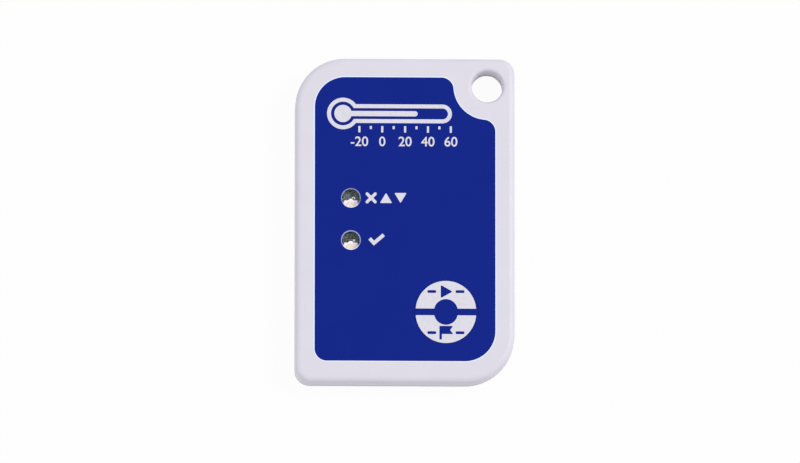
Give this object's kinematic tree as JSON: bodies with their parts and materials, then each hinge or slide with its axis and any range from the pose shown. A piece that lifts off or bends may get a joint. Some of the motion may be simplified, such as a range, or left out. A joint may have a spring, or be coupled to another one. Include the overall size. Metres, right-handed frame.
{
  "type": "temperature data logger",
  "caption": "Thin card-shaped temperature data logger with rounded corners, a corner lanyard hole, lamp windows in a printed label and a round sprung button.",
  "frame": {"origin": "middle of the case's outline in the plane of the rear face, on which the logger lies", "axes": "+Z out of the front face with the label, +Y towards the top edge that carries the lanyard hole, +X towards the hole's side"},
  "size_m": [0.0576, 0.086, 0.0086],
  "materials": {
    "housing_plastic": "satin moulded ABS, fine spark texture",
    "label_film": "satin printed film, fine velvet texture",
    "pad_film": "satin printed film over the button",
    "key_plastic": "moulded, satin",
    "gasket_rubber": "matte",
    "lens_clear": "clear polished polycarbonate",
    "led_body": "cream moulded package",
    "led_resin": "clear yellowish resin",
    "board_laminate": "dark green solder mask",
    "cell_steel": "nickel-plated steel",
    "cell_seal": "moulded nylon",
    "tab_nickel": "nickel strip",
    "foam": "fine-cell foam",
    "chip_epoxy": "black moulded epoxy",
    "tinned_metal": "tin plated",
    "contact_gold": "gold plated",
    "ceramic": "fired ceramic",
    "switch_plastic": "moulded",
    "stem_plastic": "moulded"
  },
  "bodies": {
    "case": {"front_housing": "housing_plastic", "rear_cover": "housing_plastic", "case_gasket": "gasket_rubber", "label_overlay": "label_film", "switch_base": "switch_plastic", "switch_cover": "tinned_metal", "switch_dome": "tab_nickel", "alert_lens": "lens_clear", "ok_lens": "lens_clear", "alert_led": "led_body", "ok_led": "led_body", "alert_led_cap": "led_resin", "ok_led_cap": "led_resin", "circuit_board": "board_laminate", "battery_can": "cell_steel", "battery_cap": "cell_steel", "battery_seal": "cell_seal", "battery_tab_positive": "tab_nickel", "battery_tab_negative": "tab_nickel", "battery_pad": "foam", "microcontroller": "chip_epoxy", "memory_chip": "chip_epoxy", "chip_leads": "tinned_metal", "crystal": "tinned_metal", "temperature_sensor": "chip_epoxy", "sensor_leads": "tinned_metal", "chip_capacitors": "ceramic", "chip_resistors": "chip_epoxy", "contact_pins": "contact_gold"},
    "button": {"button_pad": "pad_film", "button_key": "key_plastic", "switch_stem": "stem_plastic"}
  },
  "joints": [
    {"name": "button_press", "type": "slide", "parent": "case", "child": "button", "axis": [0, 0, -1], "range_m": [0, 0.00025], "stiffness_N_per_m": 6000, "deforming": ["switch_dome"]}
  ]
}
